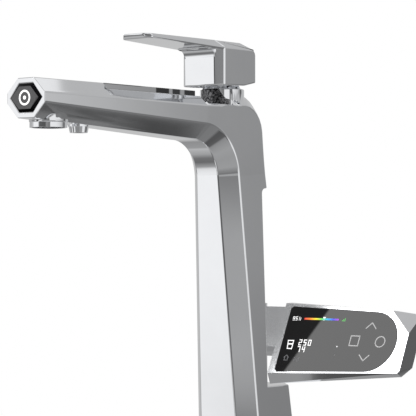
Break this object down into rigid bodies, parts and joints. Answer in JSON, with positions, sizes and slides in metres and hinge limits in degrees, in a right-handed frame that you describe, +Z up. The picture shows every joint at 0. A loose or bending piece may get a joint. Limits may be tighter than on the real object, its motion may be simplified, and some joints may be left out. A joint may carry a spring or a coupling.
{
  "type": "water ionizer faucet",
  "caption": "Tall faucet for a water ionizer: octagonal column, bend and spout in one casting, lever on the neck, two outlets and a tilted touch display that turns on a pin.",
  "frame": {"origin": "centre of the column's foot, on the worktop's upper face", "axes": "+Z up; the spout points to -Y; the display stands out to +X, the right hand of a user at the sink"},
  "size_m": [0.1799, 0.2695, 0.382],
  "materials": {
    "polished_metal": "polished chrome plate",
    "dark_lens": "smoked clear plastic",
    "circuit_board": "glass fibre board",
    "white_plastic": "moulded",
    "seal_rubber": "matt",
    "tube_plastic": "drawn, semi-matt",
    "ceramic": "ground ceramic",
    "steel": "turned",
    "bare_brass": "machined",
    "display_shell": "satin silver",
    "cover_glass": "black printed glass",
    "screen_panel": "screen",
    "bush_plastic": "moulded bearing plastic"
  },
  "bodies": {
    "casting": {"faucet_body": "polished_metal", "spout_cover": "polished_metal", "tip_lens": "dark_lens", "tip_light_board": "circuit_board", "aerator_housing": "polished_metal", "aerator_insert": "white_plastic", "aerator_gasket": "seal_rubber", "pure_nozzle": "polished_metal", "nozzle_gasket": "seal_rubber", "mixed_water_tube": "tube_plastic", "ionized_water_tube": "tube_plastic", "supply_tubes": "tube_plastic", "cartridge_seal": "seal_rubber", "cartridge_housing": "white_plastic", "fixed_disc": "ceramic", "cartridge_nut": "bare_brass", "neck_dome": "polished_metal", "pivot_pin": "steel", "pivot_cap": "polished_metal", "foot_block": "bare_brass", "base_ring": "polished_metal", "base_gasket": "seal_rubber", "shank": "bare_brass", "deck_washer": "seal_rubber", "clamp_plate": "steel", "shank_nut": "bare_brass", "cable_grommet": "seal_rubber"},
    "mixer": {"cartridge_carrier": "white_plastic", "stem_pin": "steel"},
    "lever": {"lever_handle": "polished_metal", "cartridge_stem": "bare_brass", "lever_screw": "steel", "lever_plug": "polished_metal"},
    "disc": {"moving_disc": "ceramic", "disc_slider": "white_plastic"},
    "display": {"display_arm": "polished_metal", "display_frame": "polished_metal", "display_back": "display_shell", "display_glass": "cover_glass", "display_panel": "screen_panel", "display_board": "circuit_board", "display_screws": "steel", "pivot_bushes": "bush_plastic"}
  },
  "joints": [
    {"name": "lever_turn", "type": "hinge", "parent": "casting", "child": "mixer", "pos_m": [0, -0.03295, 0.2832], "axis": [0, 0, 1], "range_deg": [-50, 50]},
    {"name": "lever_lift", "type": "hinge", "parent": "mixer", "child": "lever", "pos_m": [0, -0.03295, 0.2832], "axis": [-1, 0, 0], "range_deg": [0, 25]},
    {"name": "disc_slide", "type": "slide", "parent": "mixer", "child": "disc", "axis": [0, -1, 0], "range_m": [0, 0.006]},
    {"name": "display_swing", "type": "hinge", "parent": "casting", "child": "display", "pos_m": [0, 0.004, 0.1], "axis": [0, 0, 1], "range_deg": [0, 60]}
  ],
  "couplings": [
    {"joint": "disc_slide", "follows": "lever_lift", "m_per_rad": 0.01356}
  ]
}
